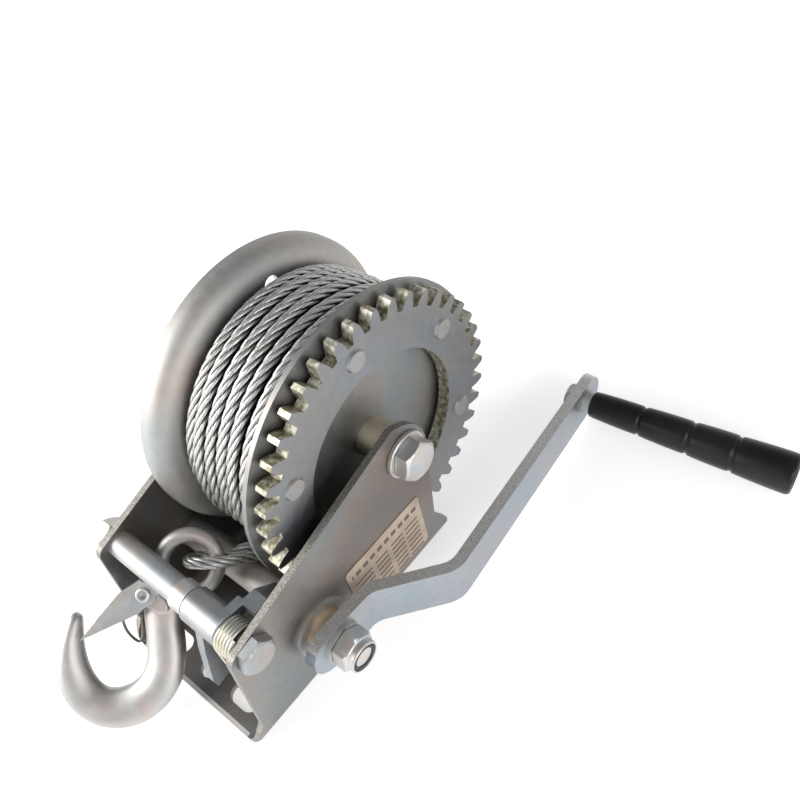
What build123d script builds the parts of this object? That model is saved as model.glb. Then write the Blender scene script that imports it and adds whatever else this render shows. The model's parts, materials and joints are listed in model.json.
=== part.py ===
"""Boat trailer winch: geared hand winch with wire rope, slip hook and anti-reverse pawl.

Axes: +X runs along the drum axle towards the crank, -Y is the front (rope side), +Z is up.
Origin: centre of the base slot pattern, on the underside of the base.
All sizes are millimetres.
"""
from build123d import *
from math import acos, cos, pi, radians, sin, sqrt, tan
import os

os.makedirs("parts", exist_ok=True)

# ---------------------------------------------------------------- driving dimensions
# Frame: one folded steel sheet, a base with two cheeks
FRAME_W = 97.0
SHEET = 3.5
BEND_R = 8.0
BASE_FRONT = -72.0
BASE_REAR = 74.0
CHEEK_CORNER_R = 6.0
FOOT_CORNER_R = 7.5
FOOT_CORNER_H = 14.0
FRONT_EDGE = 2.0
CHEEK_BLANK_H = 140.0
SLOT_W = 11.0
SLOT_LEN = 18.0
SLOT_X = 26.0
SLOT_Y = 59.0

# Axes of rotation, as (Y, Z)
AXLE = (57.5, 85.3)
SHAFT = (-16.7, 35.6)
FRONT = (-49.3, 67.3)

# Cheek outline in front, behind, and over the axle as an arc; all (Y, Z)
CHEEK_FRONT = [(BASE_FRONT, 4), (-64.5, 14), (-60.5, 72.7)]
CHEEK_REAR = [(66.5, 23), (BASE_REAR, 10)]
CHEEK_TOP = [(53, 104.8), (66, 97.5), (72.6, 81)]

# Gear pair
MODULE = 3.5
GEAR_TEETH = 41
PINION_TEETH = 10
PRESSURE = radians(20)
BACKLASH = 0.6
TIP_HEIGHT = 0.9
GEAR_X = 31.2
GEAR_T = 6.5
GEAR_BORE_R = 47.5
PINION_X = 29.4
PINION_END = 43.0

# Drum
FLANGE_R = 77.0
FLANGE_T = 2.5
FLANGE_L_X = -31.0
FLANGE_R_X = 25.9
FLARE_R = 11.0
RIM_X = -43.0
CORE_R = 30.0
CORE_WALL = 3.0
HUB_R = 10.5
HUB_END = 44.2
RIVETS = 6
RIVET_R = 4.5
RIVET_PCD_R = 59.0
RIVET_PHASE = 33.0
WIND_EDGE_R = 62.0
WIND_R = 68.0
WIND_GAP = 0.3
HOLE_PCD_R = 61.5
HOLE_R = 4.0
HOLE_ANGLES = (40, 78, 230)

# Rope anchor on the left flange
ANCHOR_PCD_R = 42.0
ANCHOR_ANGLE = 250.0
ANCHOR_L = 22.0
ANCHOR_W = 12.0
ANCHOR_T = 4.0
ANCHOR_CORNER_R = 3.0
ANCHOR_SCREW_Y = 6.0
ANCHOR_SCREW_R = 4.0
ANCHOR_SCREW_H = 3.0

# Axle, shaft and tube radii
AXLE_R = 6.0
SLEEVE_R = 8.5
SHAFT_R = 7.0
JOURNAL_R = 6.0
TUBE_R = 6.5
TUBE_BORE_R = 5.0
FIT = 0.05

# Fasteners, bushes and washers
BOLT_CLEARANCE = 0.2
AXLE_FLATS = 19.0
AXLE_HEAD_H = 8.0
AXLE_NUT_H = 10.0
AXLE_WASHER_R = 12.0
AXLE_WASHER_T = 2.5
AXLE_THREAD_OUT = 3.5
FRONT_BOLT_R = 5.0
FRONT_FLATS = 16.0
FRONT_HEAD_H = 6.0
FRONT_NUT_H = 8.5
FRONT_THREAD_OUT = 3.5
COLLAR_R = 7.8
COLLAR_L = 8.2
COLLAR_GAP = 0.7
RIGHT_BUSH_R = 11.0
RIGHT_BUSH_END = 55.5
LEFT_BUSH_R = 9.0
LEFT_BUSH_OUT = 2.0
BUSH_INSET_RIGHT = 0.5
BUSH_INSET_LEFT = 0.2
BEARING_RING_R = 15.4
BEARING_RING_T = 2.0
SHAFT_SLEEVE_R = 8.0
SHAFT_SLEEVE_INSET = 1.8
CIRCLIP_R = 10.0
CIRCLIP_T = 1.7
CIRCLIP_OUT = 2.3
ARM_WASHER_R = 10.5
ARM_WASHER_T = 2.0
SHAFT_NUT_X = (64.0, 72.5)
SHAFT_NUT_FLATS = 18.0
SHAFT_NUT_COLLAR_R = 8.3
SHAFT_NUT_END = 76.0
SHAFT_NUT_BORE_R = 5.0
INSERT_R = 6.8
INSERT_SET_BACK = 0.3
SHAFT_STEPS = [(-53, -44.5, 6.0), (-44.5, 56, 7.0), (56, 64, 6.0), (64, 75.2, 5.0)]
NYLON_T = 2.2
NUT_LIP = 1.1
NUT_LIP_ROUND = 0.8

# Crank arm: a flat bar, cranked outwards and then leaning slightly back
ARM_W = 25.0
ARM_T = 6.0
ARM_X = 56.0
ARM_TILT = -6.0
ARM_S1 = 23.2
ARM_S2 = 56.5
ARM_OFFSET = 25.4
ARM_LEAN = 6.7
ARM_L = 193.5
ARM_TAIL = 5.5
ARM_TIP = 3.5
ARM_BEND_R = 14.0

# Grip
GRIP_START = 4.0
GRIP_L = 110.0
GRIP_R1 = 7.6
GRIP_R2 = 11.3
GRIP_BORE_R = 4.3
GRIP_BOLT_R = 4.0
GRIP_BOLT_END = 106.0
GRIP_CAP_R = 7.5
GRIP_END_ROUND = 2.2
GRIP_CAP_T = 2.0
GRIP_CAP_GAP = 0.3
GRIP_COLLAR_GAP = 0.4
GRIP_COLLAR_R = 6.5
GRIP_HEAD_FLATS = 13.0
GRIP_HEAD_H = 5.5
GRIP_GROOVES = (32.5, 59.5, 83.5)
GRIP_GROOVE_DEPTH = 0.9
GRIP_GROOVE_HALF = 1.2

# Slip hook, in its own plane: x is sideways towards the tip, y is down the shank
EYE = (-16.6, -34.6, 55.3)
HOOK_PITCH = 27.0
HOOK_YAW = 8.4
HOOK_ROLL = 35.0
EYE_WIRE_R = 3.75
EYE_MEAN_R = 13.75
HOOK_T = 14.0
LATCH_PIN = (8.7, 22.4)
LATCH_PIN_R = 2.2
LATCH_T = 1.2
LATCH_GAP = 0.35
BOWL_OUTER = (-0.5, 59, 31.0)
BOWL_INNER = (3, 59, 13.8)
BOWL_CUT = 40.0
BOWL_CUTS = [(-BOWL_CUT / 2, 56), (BOWL_CUT / 2, 70)]
HOOK_LENGTHS = [
    [(0, 17, 6.2), (-5.2, 29.5, 9.0)],
    [(-5.2, 29.5, 9.0), (-16.2, 43, 9.1)],
    [(-16.2, 43, 9.1), (-21, 58, 9.7)],
    [(18, 72, 8.6), (26, 61.5, 4.6)],
    [(26, 61.5, 4.6), (29.4, 53.6, 3.3)],
    [(-3, 24, 7.0), (*LATCH_PIN, 4.4)],
]
LATCH_EAR = [(3, 17.4), (14, 17.4), (18.5, 28.4), (20.8, 57.9), (5.3, 30.9)]
LATCH_WEB = [(15, 20.4), (18.5, 28.4), (20, 45.4), (18.8, 45.4), (17.3, 28.6), (13.8, 20.8)]
LATCH_SPRING = [(16, 34.4), (8.5, 43), (-1.5, 46), (-0.4, 40.2), (5.2, 33.4)]
LATCH_WIRE = 1.4
LATCH_SPRING_BEND = 2.0
LATCH_BOSS_R = 6.0
RIVET_HEAD_T = 1.2
RIVET_HEAD_R = 3.5

# Pawl on the front tube; outlines are (Y, Z)
PAWL_X0 = 10.0
PAWL_X1 = 33.2
PAWL_HUB_R = 8.75
PAWL_HUB_EDGE = 0.7
PAWL_LEVER_X = 20.0
PAWL_LEVER_T = 5.0
PAWL_FOOT_X = 28.0
PAWL_TIP_X0 = 31.0
PAWL_TIP_X1 = 41.0
PAWL_LEVER = [
    (-56.9, 69.7), (-52.5, 74.5), (-45.5, 74.3), (-43, 62.5), (-52, 52),
    (-57, 30), (-65.5, 28), (-66, 34), (-61, 56),
]
PAWL_FOOT = [(-46.5, 74.8), (-36, 73.2), (-36, 67.4), (-42, 68)]
PAWL_TIP = [(-38, 73.6), (-29.5, 72.3), (-19.5, 63), (-22, 61), (-29.5, 66.3), (-38, 67.6)]
SPRING_X0 = 33.5
SPRING_X1 = 44.6
SPRING_R = 8.6
SPRING_WIRE = 1.8
SPRING_TURNS = 5

# Wire rope: points of its free stretch, (X, Y, Z)
ROPE_D = 6.0
LOOP_HALF = [(-14.4, -12.4, 7.3), (1.0, -1.0, 8.0)]
LOOP_LEAD = 9.0
LOOP_SPREAD = 3.2
ROPE_TAIL = [(6.5, 7.5, 30.8), (11.9, 21.3, 17.4), (15, 43, 14), (17.5, 62, 13.9)]
FERRULE_L = 18.5
FERRULE_W = 13.5
FERRULE_H = 8.0

# Angular position of one tooth of each gear, set so that they mesh at rest
GEAR_PHASE = 0.6
PINION_PHASE = 25.9

HALF_W = FRAME_W / 2
INNER = HALF_W - SHEET


def save(piece, name):
    """Label a finished piece and write it as its own STEP file."""
    piece.part.label = name
    export_step(piece.part, f"parts/{name}.step")


def side(x):
    """Plane across the axle at x: its own x and y are the model's Y and Z."""
    return Plane.YZ.offset(x)


def polar(centre, radius, angle):
    """Point at a radius and an angle in degrees from a centre."""
    return (centre[0] + radius * cos(radians(angle)), centre[1] + radius * sin(radians(angle)))


def tube(name, axis, x0, x1, r_out, r_in):
    """Plain tube or washer about an axle-parallel axis."""
    with BuildPart() as piece:
        with BuildSketch(side(x0)):
            with Locations(axis):
                Circle(r_out)
                Circle(r_in, mode=Mode.SUBTRACT)
        extrude(amount=x1 - x0)
    save(piece, name)


# ---------------------------------------------------------------- frame
def make_frame():
    with BuildPart() as frame:
        with BuildSketch(Plane.XZ.offset(-BASE_REAR)) as section:
            with Locations((0, 0)):
                Rectangle(FRAME_W, CHEEK_BLANK_H, align=(Align.CENTER, Align.MIN))
            fillet(section.vertices().group_by(Axis.Y)[0], BEND_R)
            with BuildSketch(mode=Mode.PRIVATE) as hollow:
                with Locations((0, SHEET)):
                    Rectangle(2 * INNER, CHEEK_BLANK_H, align=(Align.CENTER, Align.MIN))
                fillet(hollow.vertices().group_by(Axis.Y)[0], BEND_R - SHEET)
            add(hollow.sketch, mode=Mode.SUBTRACT)
        extrude(amount=BASE_REAR - BASE_FRONT)
        with BuildSketch(side(-HALF_W)) as outline:
            with BuildLine():
                Polyline((BASE_REAR, 0), (BASE_FRONT, 0), *CHEEK_FRONT, CHEEK_TOP[0])
                ThreePointArc(*CHEEK_TOP)
                Polyline(CHEEK_TOP[-1], *CHEEK_REAR, (BASE_REAR, 0))
            make_face()
            for corner in (CHEEK_FRONT[-1], CHEEK_TOP[0], CHEEK_REAR[0]):
                fillet(outline.vertices().sort_by_distance(corner)[0], CHEEK_CORNER_R)
        extrude(amount=FRAME_W, mode=Mode.INTERSECT)
        with BuildSketch(Plane.XY):
            for side_way in (-1, 1):
                corner = (side_way * (HALF_W - FOOT_CORNER_R), BASE_FRONT + FOOT_CORNER_R)
                with Locations((side_way * HALF_W, BASE_FRONT)):
                    Rectangle(2 * FOOT_CORNER_R, 2 * FOOT_CORNER_R)
                with Locations(corner):
                    Circle(FOOT_CORNER_R, mode=Mode.SUBTRACT)
        extrude(amount=FOOT_CORNER_H, mode=Mode.SUBTRACT)
        flat_half = HALF_W - BEND_R
        with BuildSketch(side(-flat_half)):
            with BuildLine():
                Polyline(
                    (BASE_FRONT, SHEET - FRONT_EDGE),
                    (BASE_FRONT, SHEET),
                    (BASE_FRONT + FRONT_EDGE, SHEET),
                    close=True,
                )
            make_face()
        extrude(amount=2 * flat_half, mode=Mode.SUBTRACT)
        with BuildSketch(Plane.XY):
            with Locations((-SLOT_X, -SLOT_Y), (SLOT_X, -SLOT_Y), (-SLOT_X, SLOT_Y), (SLOT_X, SLOT_Y)):
                SlotOverall(SLOT_LEN, SLOT_W)
            with Locations((0, -SLOT_Y)):
                Circle(SLOT_W / 2)
        extrude(amount=SHEET, mode=Mode.SUBTRACT)
        with BuildSketch(side(-HALF_W)):
            with Locations(AXLE):
                Circle(AXLE_R + BOLT_CLEARANCE)
            with Locations(FRONT):
                Circle(FRONT_BOLT_R + BOLT_CLEARANCE)
            with Locations(SHAFT):
                Circle(LEFT_BUSH_R)
        extrude(amount=FRAME_W, mode=Mode.SUBTRACT)
        with BuildSketch(side(0)):
            with Locations(SHAFT):
                Circle(RIGHT_BUSH_R)
        extrude(amount=FRAME_W, mode=Mode.SUBTRACT)
    save(frame, "frame")


def make_label():
    with BuildPart() as label:
        with BuildSketch(side(HALF_W)):
            with Locations((31.2, 30.5)):
                RectangleRounded(53.6, 39, 2)
        extrude(amount=0.4)
    save(label, "rating_label")


# ---------------------------------------------------------------- fasteners
def rounded_blank(axis, x0, x1, radius, ends):
    """Cylinder whose ends are chamfered at about 30 degrees, to cut a hexagon's corners with."""
    with BuildPart() as blank:
        with BuildSketch(side(x0)):
            with Locations(axis):
                Circle(radius)
        extrude(amount=x1 - x0)
        faces = blank.faces().sort_by(Axis.X)
        if "+" in ends:
            chamfer(faces[-1].edges(), 0.09 * radius, 0.18 * radius)
        if "-" in ends:
            chamfer(faces[0].edges(), 0.09 * radius, 0.18 * radius)
    return blank.part


def make_bolt(name, axis, x0, x1, shank_r, flats, head_h, washer_t=0.0):
    """Bolt along X with its head beyond x1, on a plain washer if it has one."""
    blank = rounded_blank(axis, x1 + washer_t, x1 + washer_t + head_h, flats / sqrt(3), "+")
    with BuildPart() as bolt:
        with BuildSketch(side(x1 + washer_t)):
            with Locations(axis):
                RegularPolygon(flats / 2, 6, major_radius=False, rotation=12)
        extrude(amount=head_h)
        add(blank, mode=Mode.INTERSECT)
        with BuildSketch(side(x0)):
            with Locations(axis):
                Circle(shank_r)
        extrude(amount=x1 + washer_t - x0)
        chamfer(bolt.faces().sort_by(Axis.X)[0].edges(), 0.15 * shank_r)
    save(bolt, name)


def make_nut(name, axis, x0, x1, bore_r, flats, collar_r=0.0, collar_x=0.0):
    """Hexagon nut between x0 and x1, with the domed collar of a lock nut out to collar_x."""
    blank = rounded_blank(axis, x0, x1, flats / sqrt(3), "+-")
    with BuildPart() as nut:
        with BuildSketch(side(x0)):
            with Locations(axis):
                RegularPolygon(flats / 2, 6, major_radius=False, rotation=20)
        extrude(amount=x1 - x0)
        add(blank, mode=Mode.INTERSECT)
        if collar_r:
            with BuildSketch(side(x1)):
                with Locations(axis):
                    Circle(collar_r)
            extrude(amount=collar_x - x1)
            fillet(nut.faces().sort_by(Axis.X)[-1].edges(), NUT_LIP_ROUND)
            with BuildSketch(side(collar_x - NYLON_T)):
                with Locations(axis):
                    Circle(collar_r - NUT_LIP)
            extrude(amount=NYLON_T, mode=Mode.SUBTRACT)
        with BuildSketch(side(x0)):
            with Locations(axis):
                Circle(bore_r)
        extrude(amount=max(collar_x, x1) - x0 if collar_r else x1 - x0, mode=Mode.SUBTRACT)
    save(nut, name)


# ---------------------------------------------------------------- gears
def make_gear(name, axis, x0, x1, teeth, bore_r, phase):
    """Spur gear with involute flanks, each drawn as one arc; phase is the angle of a tooth."""
    pitch_r = MODULE * teeth / 2
    base_r = pitch_r * cos(PRESSURE)
    tip_r = pitch_r + TIP_HEIGHT * MODULE
    root_r = pitch_r - 1.25 * MODULE
    flank_r = max(base_r, root_r)
    step = 2 * pi / teeth

    def half_angle(radius):
        pressure = acos(min(1, base_r / radius))
        roll = tan(PRESSURE) - PRESSURE - tan(pressure) + pressure
        return step / 4 - BACKLASH / 2 / pitch_r / 2 + roll

    def at(radius, angle):
        return (axis[0] + radius * cos(angle), axis[1] + radius * sin(angle))

    with BuildPart() as gear:
        with BuildSketch(side(x0)):
            with BuildLine():
                for index in range(teeth):
                    middle = radians(phase) + index * step
                    foot = half_angle(flank_r)
                    tip = half_angle(tip_r)
                    waist_r = (flank_r + tip_r) / 2
                    waist = half_angle(waist_r)
                    low = at(root_r, middle - foot)
                    rise = at(flank_r, middle - foot)
                    if flank_r > root_r:
                        Line(low, rise)
                    ThreePointArc(rise, at(waist_r, middle - waist), at(tip_r, middle - tip))
                    ThreePointArc(at(tip_r, middle - tip), at(tip_r, middle), at(tip_r, middle + tip))
                    fall = at(flank_r, middle + foot)
                    ThreePointArc(at(tip_r, middle + tip), at(waist_r, middle + waist), fall)
                    if flank_r > root_r:
                        Line(fall, at(root_r, middle + foot))
                    valley = middle + step / 2
                    ThreePointArc(
                        at(root_r, middle + foot),
                        at(root_r, valley),
                        at(root_r, middle + step - foot),
                    )
            make_face()
            with Locations(axis):
                Circle(bore_r, mode=Mode.SUBTRACT)
        extrude(amount=x1 - x0)
        if name == "drum_gear":
            with BuildSketch(side(x0)):
                with Locations(*rivet_points()):
                    Circle(RIVET_R)
            extrude(amount=x1 - x0, mode=Mode.SUBTRACT)
    save(gear, name)


def rivet_points():
    return [polar(AXLE, RIVET_PCD_R, RIVET_PHASE + 360 / RIVETS * index) for index in range(RIVETS)]


# ---------------------------------------------------------------- drum
def make_left_flange():
    """Trumpet-mouthed disc: flat web, then a flare that turns outwards to a short lip."""
    flare_y = FLANGE_R - FLARE_R
    inner_x = FLANGE_L_X + FLANGE_T
    with BuildPart() as flange:
        with BuildSketch(Plane.XZ.offset(-AXLE[0])):
            with BuildLine():
                bend = AXLE[1] + flare_y
                Line((FLANGE_L_X, AXLE[1] + HUB_R), (inner_x, AXLE[1] + HUB_R))
                Line((inner_x, AXLE[1] + HUB_R), (inner_x, bend))
                outer = inner_x - FLARE_R
                top = bend + FLARE_R
                turn = FLARE_R * (1 - sqrt(0.5))
                ThreePointArc((inner_x, bend), (inner_x - turn, top - turn), (outer, top))
                Line((outer, top), (RIM_X, top))
                Line((RIM_X, top), (RIM_X, top - FLANGE_T))
                Line((RIM_X, top - FLANGE_T), (outer, top - FLANGE_T))
                small = (FLARE_R - FLANGE_T) * (1 - sqrt(0.5))
                web = (FLANGE_L_X - small, top - FLANGE_T - small)
                ThreePointArc((outer, top - FLANGE_T), web, (FLANGE_L_X, bend))
                Line((FLANGE_L_X, bend), (FLANGE_L_X, AXLE[1] + HUB_R))
            make_face()
        revolve(axis=Axis((0, *AXLE), (1, 0, 0)))
        with BuildSketch(side(FLANGE_L_X)):
            with Locations(*[polar(AXLE, HOLE_PCD_R, angle) for angle in HOLE_ANGLES]):
                Circle(HOLE_R)
        extrude(amount=FLANGE_T, mode=Mode.SUBTRACT)
    save(flange, "drum_flange_left")


def make_right_flange():
    with BuildPart() as flange:
        with BuildSketch(side(FLANGE_R_X)):
            with Locations(AXLE):
                Circle(FLANGE_R)
                Circle(HUB_R, mode=Mode.SUBTRACT)
            with Locations(*rivet_points()):
                Circle(RIVET_R, mode=Mode.SUBTRACT)
        extrude(amount=FLANGE_T)
    save(flange, "drum_flange_right")


def make_rivets():
    """Six rivets: flush on the rope side, low round heads on the gear's face."""
    gear_face = GEAR_X + GEAR_T
    with BuildPart() as rivets:
        with BuildSketch(side(FLANGE_R_X)):
            with Locations(*rivet_points()):
                Circle(RIVET_R)
        extrude(amount=gear_face - FLANGE_R_X)
        with BuildSketch(side(gear_face)):
            with Locations(*rivet_points()):
                Circle(RIVET_R + 1)
        extrude(amount=1.2, taper=30)
    save(rivets, "gear_rivets")
    with BuildPart() as collars:
        with BuildSketch(side(FLANGE_R_X + FLANGE_T)):
            with Locations(*rivet_points()):
                Circle(RIVET_R + 2.5)
                Circle(RIVET_R, mode=Mode.SUBTRACT)
        extrude(amount=GEAR_X - FLANGE_R_X - FLANGE_T)
    save(collars, "gear_spacers")


def make_winding():
    """Wound rope as one barrel, fuller in the middle than at the left flange."""
    x0 = FLANGE_L_X + FLANGE_T + WIND_GAP
    x1 = FLANGE_R_X - WIND_GAP
    base = AXLE[1] + CORE_R
    with BuildPart() as winding:
        with BuildSketch(Plane.XZ.offset(-AXLE[0])):
            with BuildLine():
                left = (x0, AXLE[1] + WIND_EDGE_R)
                right = (x1, AXLE[1] + WIND_R - 1.5)
                ThreePointArc(left, ((x0 + x1) / 2, AXLE[1] + WIND_R), right)
                Polyline(right, (x1, base), (x0, base), left)
            make_face()
        revolve(axis=Axis((0, *AXLE), (1, 0, 0)))
    save(winding, "rope_winding")


def make_anchor():
    """Rope anchor on the outside of the left flange: a saddle held by two small screws."""
    y, z = polar(AXLE, ANCHOR_PCD_R, ANCHOR_ANGLE)
    with BuildPart() as saddle:
        with BuildSketch(side(FLANGE_L_X - ANCHOR_T)):
            with Locations((y, z)):
                RectangleRounded(ANCHOR_L, ANCHOR_W, ANCHOR_CORNER_R)
        extrude(amount=ANCHOR_T)
    save(saddle, "rope_anchor_saddle")
    with BuildPart() as screws:
        with BuildSketch(side(FLANGE_L_X - ANCHOR_T - ANCHOR_SCREW_H)):
            with Locations((y - ANCHOR_SCREW_Y, z), (y + ANCHOR_SCREW_Y, z)):
                Circle(ANCHOR_SCREW_R)
        extrude(amount=ANCHOR_SCREW_H)
    save(screws, "rope_anchor_screws")


# ---------------------------------------------------------------- crank
def arm_frame():
    """Direction along the arm, direction across it, and the shaft's centre, as vectors."""
    tilt = radians(ARM_TILT)
    along = Vector(0, cos(tilt), sin(tilt))
    across = Vector(0, -sin(tilt), cos(tilt))
    return along, across, Vector(0, *SHAFT)


def make_arm():
    """Flat bar with two gentle bends, rounded at both ends."""
    along, across, hub = arm_frame()
    middle = ARM_X + ARM_T / 2
    lean = tan(radians(ARM_LEAN))
    end = ARM_L + ARM_W
    with BuildPart() as arm:
        with BuildSketch(Plane(origin=hub - across * ARM_W, x_dir=(1, 0, 0), z_dir=across)):
            with BuildLine():
                FilletPolyline(
                    (middle, -ARM_W),
                    (middle, ARM_S1),
                    (middle + ARM_OFFSET, ARM_S2),
                    (middle + ARM_OFFSET - lean * (end - ARM_S2), end),
                    radius=ARM_BEND_R,
                )
            trace(line_width=ARM_T)
        extrude(amount=2 * ARM_W)
        with BuildSketch(Plane(origin=hub, x_dir=along, z_dir=(1, 0, 0))):
            with Locations(((ARM_L + ARM_TIP - ARM_TAIL) / 2, 0)):
                SlotCenterToCenter(ARM_L + ARM_TAIL + ARM_TIP, ARM_W)
        extrude(amount=2 * ARM_X, mode=Mode.INTERSECT)
        with BuildSketch(Plane(origin=hub, x_dir=along, z_dir=(1, 0, 0))):
            Circle(JOURNAL_R)
        extrude(amount=2 * ARM_X, mode=Mode.SUBTRACT)
        with BuildSketch(grip_plane(-20)):
            Circle(GRIP_BOLT_R)
        extrude(amount=40, mode=Mode.SUBTRACT)
    save(arm, "crank_arm")


def grip_axis():
    """Start of the grip axis at the arm's outer face, and its direction."""
    along, across, hub = arm_frame()
    lean = radians(ARM_LEAN)
    mid_x = ARM_X + ARM_T / 2 + ARM_OFFSET - tan(lean) * (ARM_L - ARM_S2)
    direction = Vector(cos(lean), 0, 0) + along * sin(lean)
    start = hub + Vector(mid_x, 0, 0) + along * ARM_L + direction * (ARM_T / 2)
    return start, direction, across


def grip_plane(distance):
    start, direction, across = grip_axis()
    return Plane(origin=start + direction * distance, x_dir=across, z_dir=direction)


def make_grip():
    """Tapered plastic grip with three turned grooves and a recessed, rounded end."""
    start, direction, across = grip_axis()
    plane = Plane(origin=start, x_dir=direction, z_dir=direction.cross(across))
    end = GRIP_START + GRIP_L
    taper_end = end - GRIP_END_ROUND
    set_back = 1 - cos(radians(45))

    def radius(distance):
        return GRIP_R1 + (GRIP_R2 - GRIP_R1) * (distance - GRIP_START) / (taper_end - GRIP_START)

    outline = [(GRIP_START, GRIP_BORE_R), (GRIP_START, GRIP_R1)]
    for groove in GRIP_GROOVES:
        outline += [
            (groove - GRIP_GROOVE_HALF, radius(groove - GRIP_GROOVE_HALF)),
            (groove, radius(groove) - GRIP_GROOVE_DEPTH),
            (groove + GRIP_GROOVE_HALF, radius(groove + GRIP_GROOVE_HALF)),
        ]
    outline.append((taper_end, GRIP_R2))
    shoulder = (end, GRIP_R2 - GRIP_END_ROUND)
    bulge = (end - GRIP_END_ROUND * set_back, GRIP_R2 - GRIP_END_ROUND * set_back)
    with BuildPart() as grip:
        with BuildSketch(plane):
            with BuildLine():
                Polyline(*outline)
                ThreePointArc((taper_end, GRIP_R2), bulge, shoulder)
                Line(shoulder, (end, GRIP_BORE_R))
                Line((end, GRIP_BORE_R), (GRIP_START, GRIP_BORE_R))
            make_face()
        revolve(axis=Axis(start, direction))
        with BuildSketch(grip_plane(GRIP_BOLT_END)):
            Circle(GRIP_CAP_R)
        extrude(amount=GRIP_L, mode=Mode.SUBTRACT)
    save(grip, "grip")


def make_grip_bolt():
    """Shouldered bolt: hexagon head behind the arm, nut against its face, plain pin in the grip."""
    with BuildPart() as bolt:
        with BuildSketch(grip_plane(-ARM_T - GRIP_HEAD_H)):
            RegularPolygon(GRIP_HEAD_FLATS / 2, 6, major_radius=False)
        extrude(amount=GRIP_HEAD_H)
        with BuildSketch(grip_plane(-ARM_T)):
            Circle(GRIP_BOLT_R)
        extrude(amount=ARM_T + GRIP_BOLT_END)
        with BuildSketch(grip_plane(GRIP_BOLT_END)):
            Circle(GRIP_CAP_R - GRIP_CAP_GAP)
        extrude(amount=GRIP_CAP_T)
    save(bolt, "grip_bolt")
    with BuildPart() as nut:
        with BuildSketch(grip_plane(0)):
            Circle(GRIP_COLLAR_R)
            Circle(GRIP_BOLT_R, mode=Mode.SUBTRACT)
        extrude(amount=GRIP_START - GRIP_COLLAR_GAP)
    save(nut, "grip_collar")


def make_shaft():
    """Crank shaft: stepped at both ends, with a groove for its retaining ring on the left."""
    with BuildPart() as shaft:
        for x0, x1, radius in SHAFT_STEPS:
            with BuildSketch(side(x0)):
                with Locations(SHAFT):
                    Circle(radius)
            extrude(amount=x1 - x0)
    save(shaft, "crank_shaft")


# ---------------------------------------------------------------- pawl
def make_pawl():
    """Pawl: a sleeve on the front tube, a thumb lever below and a wide finger at the pinion."""
    with BuildPart() as pawl:
        with BuildSketch(side(PAWL_X0)):
            with Locations(FRONT):
                Circle(PAWL_HUB_R)
        extrude(amount=PAWL_X1 - PAWL_X0)
        chamfer(pawl.edges(), PAWL_HUB_EDGE)
        with BuildSketch(side(PAWL_LEVER_X)):
            with BuildLine():
                Polyline(*PAWL_LEVER, close=True)
            make_face()
        extrude(amount=PAWL_LEVER_T)
        for x0, x1, outline in ((PAWL_FOOT_X, PAWL_X1, PAWL_FOOT), (PAWL_TIP_X0, PAWL_TIP_X1, PAWL_TIP)):
            with BuildSketch(side(x0)):
                with BuildLine():
                    Polyline(*outline, close=True)
                make_face()
            extrude(amount=x1 - x0)
        with BuildSketch(side(PAWL_X0)):
            with Locations(FRONT):
                Circle(TUBE_R + FIT)
        extrude(amount=PAWL_X1 - PAWL_X0, mode=Mode.SUBTRACT)
    save(pawl, "pawl")


def make_pawl_spring():
    """Torsion spring: close coils between the pawl and the right cheek."""
    pitch = (SPRING_X1 - SPRING_X0 - SPRING_WIRE) / SPRING_TURNS
    origin = Vector(SPRING_X0 + SPRING_WIRE / 2, *FRONT)
    with BuildPart() as spring:
        with BuildLine():
            coil = Helix(
                pitch=pitch,
                height=pitch * SPRING_TURNS,
                radius=SPRING_R,
                center=tuple(origin),
                direction=(1, 0, 0),
            )
        with BuildSketch(Plane(origin=coil @ 0, z_dir=coil % 0)):
            Circle(SPRING_WIRE / 2)
        sweep(is_frenet=True)
    save(spring, "pawl_spring")


# ---------------------------------------------------------------- hook
def hook_plane(height=0.0):
    """The hook's mid plane, moved along its own normal."""
    pitch = radians(HOOK_PITCH)
    yaw = radians(HOOK_YAW)
    roll = radians(HOOK_ROLL)
    ahead = Vector(-sin(yaw), -cos(yaw), 0)
    down = ahead * cos(pitch) - Vector(0, 0, sin(pitch))
    face = ahead * sin(pitch) + Vector(0, 0, cos(pitch))
    out = Vector(cos(yaw), -sin(yaw), 0)
    normal = face * cos(roll) + out * sin(roll)
    return Plane(origin=Vector(*EYE) + normal * height, x_dir=down.cross(normal), z_dir=normal)


def make_hook():
    """Forged slip hook: a flat bowl and shank, a tapered tip, a lug for the latch and a round eye."""
    plane = hook_plane()
    with BuildPart() as hook:
        with BuildSketch(hook_plane(-HOOK_T / 2)):
            with Locations(BOWL_OUTER[:2]):
                Circle(BOWL_OUTER[2])
            for x, bottom in BOWL_CUTS:
                with Locations((x, bottom)):
                    Rectangle(BOWL_CUT, BOWL_CUT, align=(Align.CENTER, Align.MAX), mode=Mode.SUBTRACT)
            for length in HOOK_LENGTHS:
                with BuildSketch(mode=Mode.PRIVATE) as link:
                    for x, y, radius in length:
                        with Locations((x, y)):
                            Circle(radius)
                    make_hull()
                add(link.sketch)
            with Locations(BOWL_INNER[:2]):
                Circle(BOWL_INNER[2], mode=Mode.SUBTRACT)
            Circle(EYE_MEAN_R, mode=Mode.SUBTRACT)
        extrude(amount=HOOK_T)
        with BuildSketch(Plane(origin=plane.origin, x_dir=plane.x_dir, z_dir=plane.y_dir)):
            with Locations((EYE_MEAN_R, 0)):
                Circle(EYE_WIRE_R)
        revolve(axis=Axis(plane.origin, plane.z_dir))
        with BuildSketch(hook_plane(-HOOK_T)):
            with Locations(LATCH_PIN):
                Circle(LATCH_PIN_R)
        extrude(amount=2 * HOOK_T, mode=Mode.SUBTRACT)
    save(hook, "hook_body")


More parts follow.
